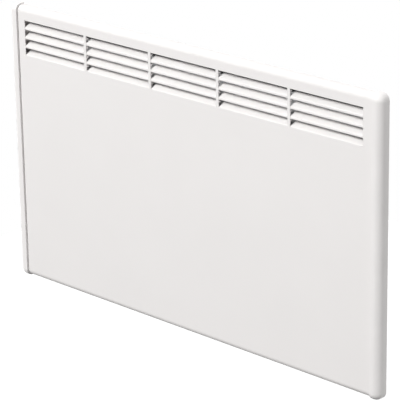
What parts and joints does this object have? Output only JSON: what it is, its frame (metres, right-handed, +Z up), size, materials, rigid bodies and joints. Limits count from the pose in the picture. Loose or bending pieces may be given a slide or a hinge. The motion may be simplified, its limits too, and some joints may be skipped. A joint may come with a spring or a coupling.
{
  "type": "wall panel convector heater",
  "caption": "Flat white wall-hung convector panel with louvred outlet between two moulded end caps, thermostat and switch on the left side, and a lift-off wall bracket.",
  "frame": {"origin": "centre of the four wall-screw slots, on the wall plane", "axes": "+X along the heater to the right as seen from the room, +Y into the wall, +Z up"},
  "size_m": [0.6845, 0.08, 0.4055],
  "materials": {
    "white_powder_coat": "fine-textured satin powder coat",
    "bracket_coat": "satin powder coat",
    "white_moulding": "fine spark-eroded grain",
    "knob_moulding": "satin",
    "dark_moulding": "fine grain",
    "cream_moulding": "satin",
    "rocker_moulding": "gloss",
    "amber_lens": "clear gloss",
    "galvanised_sheet": "zinc spangle",
    "zinc_screws": "bright zinc",
    "sheath_steel": "heat-darkened",
    "extruded_aluminium": "extruded, dull",
    "ceramic": "unglazed steatite",
    "copper": "dull copper",
    "brass": "satin"
  },
  "bodies": {
    "wall_bracket": {"bracket_rail_left": "bracket_coat", "bracket_rail_right": "bracket_coat", "bracket_crossbar_lower": "bracket_coat", "bracket_crossbar_upper": "bracket_coat"},
    "heater": {"front_cover": "white_powder_coat", "end_cap_right": "white_moulding", "rear_tray": "galvanised_sheet", "control_housing": "white_moulding", "housing_lid": "white_moulding", "cover_screws": "zinc_screws", "housing_screws": "zinc_screws", "lid_screws": "zinc_screws", "heat_shield": "galvanised_sheet", "shield_spacers": "zinc_screws", "element_fins": "extruded_aluminium", "element_rod": "sheath_steel", "element_bush_left": "ceramic", "element_bush_right": "ceramic", "element_bracket_left": "galvanised_sheet", "element_bracket_right": "galvanised_sheet", "thermal_cutout": "dark_moulding", "cutout_clip": "galvanised_sheet", "thermostat_body": "dark_moulding", "thermostat_nut": "zinc_screws", "thermostat_capillary": "copper", "bulb_clip": "galvanised_sheet", "switch_body": "dark_moulding", "indicator_lens": "amber_lens", "cable_gland": "dark_moulding", "gland_nut": "dark_moulding", "terminal_block": "cream_moulding", "terminal_screws": "brass", "earth_stud": "brass", "earth_nut": "brass", "slot_grommet_lower_left": "dark_moulding", "slot_grommet_lower_right": "dark_moulding", "slot_grommet_upper_left": "dark_moulding", "slot_grommet_upper_right": "dark_moulding"},
    "thermostat_knob": {"thermostat_knob": "knob_moulding", "thermostat_spindle": "zinc_screws"},
    "power_rocker": {"power_rocker": "rocker_moulding"}
  },
  "joints": [
    {"name": "lift_off", "type": "slide", "parent": "wall_bracket", "child": "heater", "axis": [0, 0, 1], "range_m": [0, 0.009]},
    {"name": "thermostat_turn", "type": "hinge", "parent": "heater", "child": "thermostat_knob", "pos_m": [-0.3375, -0.045, 0.0515], "axis": [1, 0, 0], "range_deg": [-135, 135]},
    {"name": "power_switch", "type": "hinge", "parent": "heater", "child": "power_rocker", "pos_m": [-0.3345, -0.045, -0.0005], "axis": [0, 1, 0], "range_deg": [0, 16]}
  ]
}
